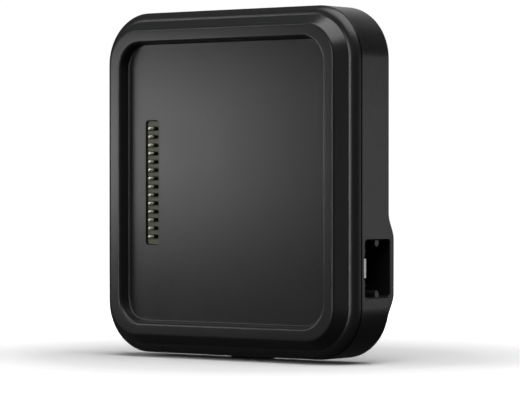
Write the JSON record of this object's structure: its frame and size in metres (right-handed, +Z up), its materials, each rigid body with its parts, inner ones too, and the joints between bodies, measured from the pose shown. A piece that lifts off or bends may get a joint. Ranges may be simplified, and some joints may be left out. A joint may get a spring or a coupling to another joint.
{
  "type": "powered device docking cradle",
  "caption": "Square black docking cradle with a shallow device recess, a column of sprung contacts, magnets behind the floor and a keyed power socket in its side.",
  "frame": {"origin": "centre of the rear pattern of threaded inserts, on the rear face of the body", "axes": "+X to the right seen from the front, +Y out of the back (the recess faces -Y), +Z up"},
  "size_m": [0.0758, 0.0186, 0.0829],
  "materials": {
    "front_plastic": "fine moulded texture, satin",
    "shell_plastic": "fine moulded texture, satin",
    "block_plastic": "smooth, slightly glossy",
    "socket_plastic": "smooth",
    "seal_rubber": "dull",
    "foot_rubber": "dull",
    "contact_gold": "bright gold plate",
    "spring_steel": "bright wire",
    "magnet_nickel": "nickel plate",
    "yoke_steel": "zinc plate",
    "screw_steel": "zinc plate",
    "case_screw_steel": "black zinc plate",
    "strip_steel": "bright stainless",
    "insert_brass": "turned brass",
    "board_green": "green solder mask",
    "chip_black": "moulded epoxy",
    "inductor_grey": "pressed ferrite",
    "capacitor_can": "bright can",
    "label_film": "blank satin film"
  },
  "bodies": {
    "cradle": {"front_housing": "front_plastic", "rear_shell": "shell_plastic", "perimeter_seal": "seal_rubber", "contact_block": "block_plastic", "contact_gasket": "seal_rubber", "contact_barrels": "contact_gold", "contact_spring_01": "spring_steel", "contact_spring_02": "spring_steel", "contact_spring_03": "spring_steel", "contact_spring_04": "spring_steel", "contact_spring_05": "spring_steel", "contact_spring_06": "spring_steel", "contact_spring_07": "spring_steel", "contact_spring_08": "spring_steel", "contact_spring_09": "spring_steel", "contact_spring_10": "spring_steel", "contact_spring_11": "spring_steel", "contact_spring_12": "spring_steel", "contact_spring_13": "spring_steel", "contact_spring_14": "spring_steel", "holding_magnets": "magnet_nickel", "magnet_yoke": "yoke_steel", "yoke_screws": "screw_steel", "circuit_board": "board_green", "board_screws": "screw_steel", "interface_chip": "chip_black", "regulator_chip": "chip_black", "power_inductor": "inductor_grey", "filter_capacitors": "capacitor_can", "surge_diodes": "chip_black", "side_socket": "socket_plastic", "socket_terminals": "contact_gold", "latch_strip": "strip_steel", "threaded_inserts": "insert_brass", "case_screws": "case_screw_steel", "bottom_foot": "foot_rubber", "rating_label": "label_film"},
    "plunger_01": {"contact_pin_01": "contact_gold"},
    "plunger_02": {"contact_pin_02": "contact_gold"},
    "plunger_03": {"contact_pin_03": "contact_gold"},
    "plunger_04": {"contact_pin_04": "contact_gold"},
    "plunger_05": {"contact_pin_05": "contact_gold"},
    "plunger_06": {"contact_pin_06": "contact_gold"},
    "plunger_07": {"contact_pin_07": "contact_gold"},
    "plunger_08": {"contact_pin_08": "contact_gold"},
    "plunger_09": {"contact_pin_09": "contact_gold"},
    "plunger_10": {"contact_pin_10": "contact_gold"},
    "plunger_11": {"contact_pin_11": "contact_gold"},
    "plunger_12": {"contact_pin_12": "contact_gold"},
    "plunger_13": {"contact_pin_13": "contact_gold"},
    "plunger_14": {"contact_pin_14": "contact_gold"}
  },
  "joints": [
    {"name": "contact_press_01", "type": "slide", "parent": "cradle", "child": "plunger_01", "axis": [0, 1, 0], "range_m": [0, 0.001], "stiffness_N_per_m": 600, "springref_m": -0.0005, "deforming": ["contact_spring_01"]},
    {"name": "contact_press_02", "type": "slide", "parent": "cradle", "child": "plunger_02", "axis": [0, 1, 0], "range_m": [0, 0.001], "stiffness_N_per_m": 600, "springref_m": -0.0005, "deforming": ["contact_spring_02"]},
    {"name": "contact_press_03", "type": "slide", "parent": "cradle", "child": "plunger_03", "axis": [0, 1, 0], "range_m": [0, 0.001], "stiffness_N_per_m": 600, "springref_m": -0.0005, "deforming": ["contact_spring_03"]},
    {"name": "contact_press_04", "type": "slide", "parent": "cradle", "child": "plunger_04", "axis": [0, 1, 0], "range_m": [0, 0.001], "stiffness_N_per_m": 600, "springref_m": -0.0005, "deforming": ["contact_spring_04"]},
    {"name": "contact_press_05", "type": "slide", "parent": "cradle", "child": "plunger_05", "axis": [0, 1, 0], "range_m": [0, 0.001], "stiffness_N_per_m": 600, "springref_m": -0.0005, "deforming": ["contact_spring_05"]},
    {"name": "contact_press_06", "type": "slide", "parent": "cradle", "child": "plunger_06", "axis": [0, 1, 0], "range_m": [0, 0.001], "stiffness_N_per_m": 600, "springref_m": -0.0005, "deforming": ["contact_spring_06"]},
    {"name": "contact_press_07", "type": "slide", "parent": "cradle", "child": "plunger_07", "axis": [0, 1, 0], "range_m": [0, 0.001], "stiffness_N_per_m": 600, "springref_m": -0.0005, "deforming": ["contact_spring_07"]},
    {"name": "contact_press_08", "type": "slide", "parent": "cradle", "child": "plunger_08", "axis": [0, 1, 0], "range_m": [0, 0.001], "stiffness_N_per_m": 600, "springref_m": -0.0005, "deforming": ["contact_spring_08"]},
    {"name": "contact_press_09", "type": "slide", "parent": "cradle", "child": "plunger_09", "axis": [0, 1, 0], "range_m": [0, 0.001], "stiffness_N_per_m": 600, "springref_m": -0.0005, "deforming": ["contact_spring_09"]},
    {"name": "contact_press_10", "type": "slide", "parent": "cradle", "child": "plunger_10", "axis": [0, 1, 0], "range_m": [0, 0.001], "stiffness_N_per_m": 600, "springref_m": -0.0005, "deforming": ["contact_spring_10"]},
    {"name": "contact_press_11", "type": "slide", "parent": "cradle", "child": "plunger_11", "axis": [0, 1, 0], "range_m": [0, 0.001], "stiffness_N_per_m": 600, "springref_m": -0.0005, "deforming": ["contact_spring_11"]},
    {"name": "contact_press_12", "type": "slide", "parent": "cradle", "child": "plunger_12", "axis": [0, 1, 0], "range_m": [0, 0.001], "stiffness_N_per_m": 600, "springref_m": -0.0005, "deforming": ["contact_spring_12"]},
    {"name": "contact_press_13", "type": "slide", "parent": "cradle", "child": "plunger_13", "axis": [0, 1, 0], "range_m": [0, 0.001], "stiffness_N_per_m": 600, "springref_m": -0.0005, "deforming": ["contact_spring_13"]},
    {"name": "contact_press_14", "type": "slide", "parent": "cradle", "child": "plunger_14", "axis": [0, 1, 0], "range_m": [0, 0.001], "stiffness_N_per_m": 600, "springref_m": -0.0005, "deforming": ["contact_spring_14"]}
  ]
}
